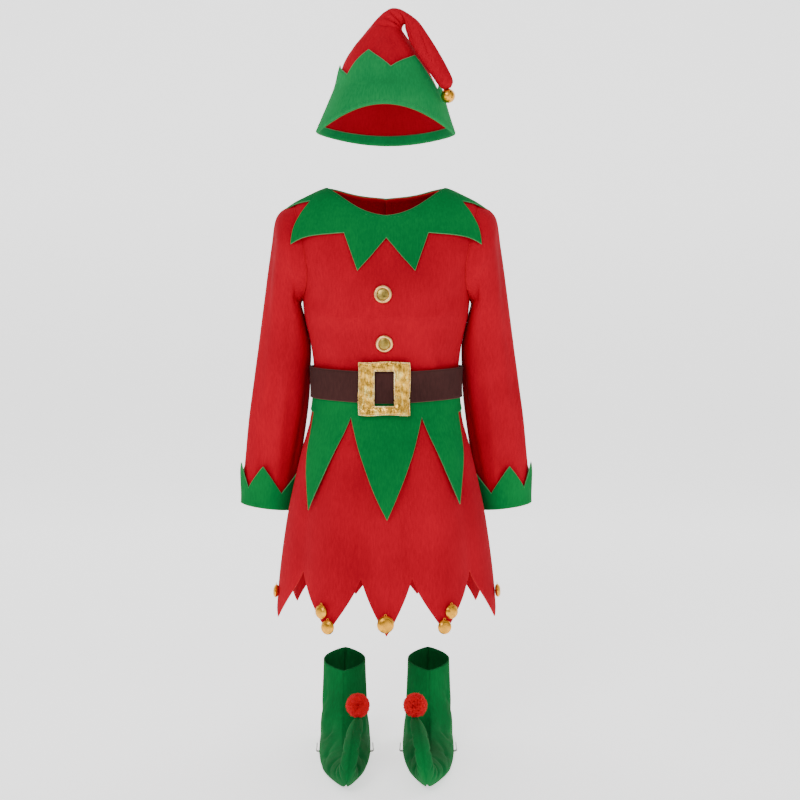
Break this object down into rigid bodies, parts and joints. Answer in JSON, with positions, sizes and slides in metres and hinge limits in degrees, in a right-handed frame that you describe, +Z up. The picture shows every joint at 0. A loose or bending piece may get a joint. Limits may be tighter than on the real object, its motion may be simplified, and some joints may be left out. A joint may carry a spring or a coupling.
{
  "type": "child's elf costume of jester hat, belted dress and curled-toe shoe covers",
  "caption": "Elf costume as worn: pointed hat with bell, red dress with jagged green trims, belt and bells, and shoe covers with curled toes and pompoms.",
  "frame": {"origin": "midway between the two neck points, where the wearer's shoulders carry the dress", "axes": "+Z up, -Y the wearer's front, +X the wearer's left"},
  "size_m": [0.4444, 0.3502, 1.0829],
  "materials": {
    "red_cloth": "smooth brushed polyester cloth, soft sheen",
    "green_cloth": "smooth brushed polyester cloth, soft sheen",
    "brown_cloth": "matt brown felt",
    "gold_lame": "crinkled gold lame over padding",
    "gold_metal": "polished gold-coloured metal",
    "elastic": "white knitted elastic",
    "red_pompom": "dense red yarn pompom"
  },
  "bodies": {
    "root": {"dress_front": "red_cloth", "dress_back_left": "red_cloth", "dress_back_right": "red_cloth", "sleeve_left": "red_cloth", "sleeve_right": "red_cloth", "cuff_left": "green_cloth", "cuff_right": "green_cloth", "collar": "green_cloth", "peplum": "green_cloth", "belt": "brown_cloth", "buckle": "gold_lame", "button_upper": "gold_metal", "button_lower": "gold_metal", "bell_centre": "gold_metal", "bell_left_upper": "gold_metal", "bell_left_lower": "gold_metal", "bell_right_upper": "gold_metal", "bell_right_lower": "gold_metal", "bell_left_side": "gold_metal", "bell_right_side": "gold_metal", "hat_front": "red_cloth", "hat_back": "red_cloth", "hat_band": "green_cloth", "bell_hat": "gold_metal", "shoe_right_inner": "green_cloth", "shoe_right_outer": "green_cloth", "shoe_left_inner": "green_cloth", "shoe_left_outer": "green_cloth", "strap_right": "elastic", "strap_left": "elastic", "pompom_right": "red_pompom", "pompom_left": "red_pompom"}
  },
  "joints": []
}
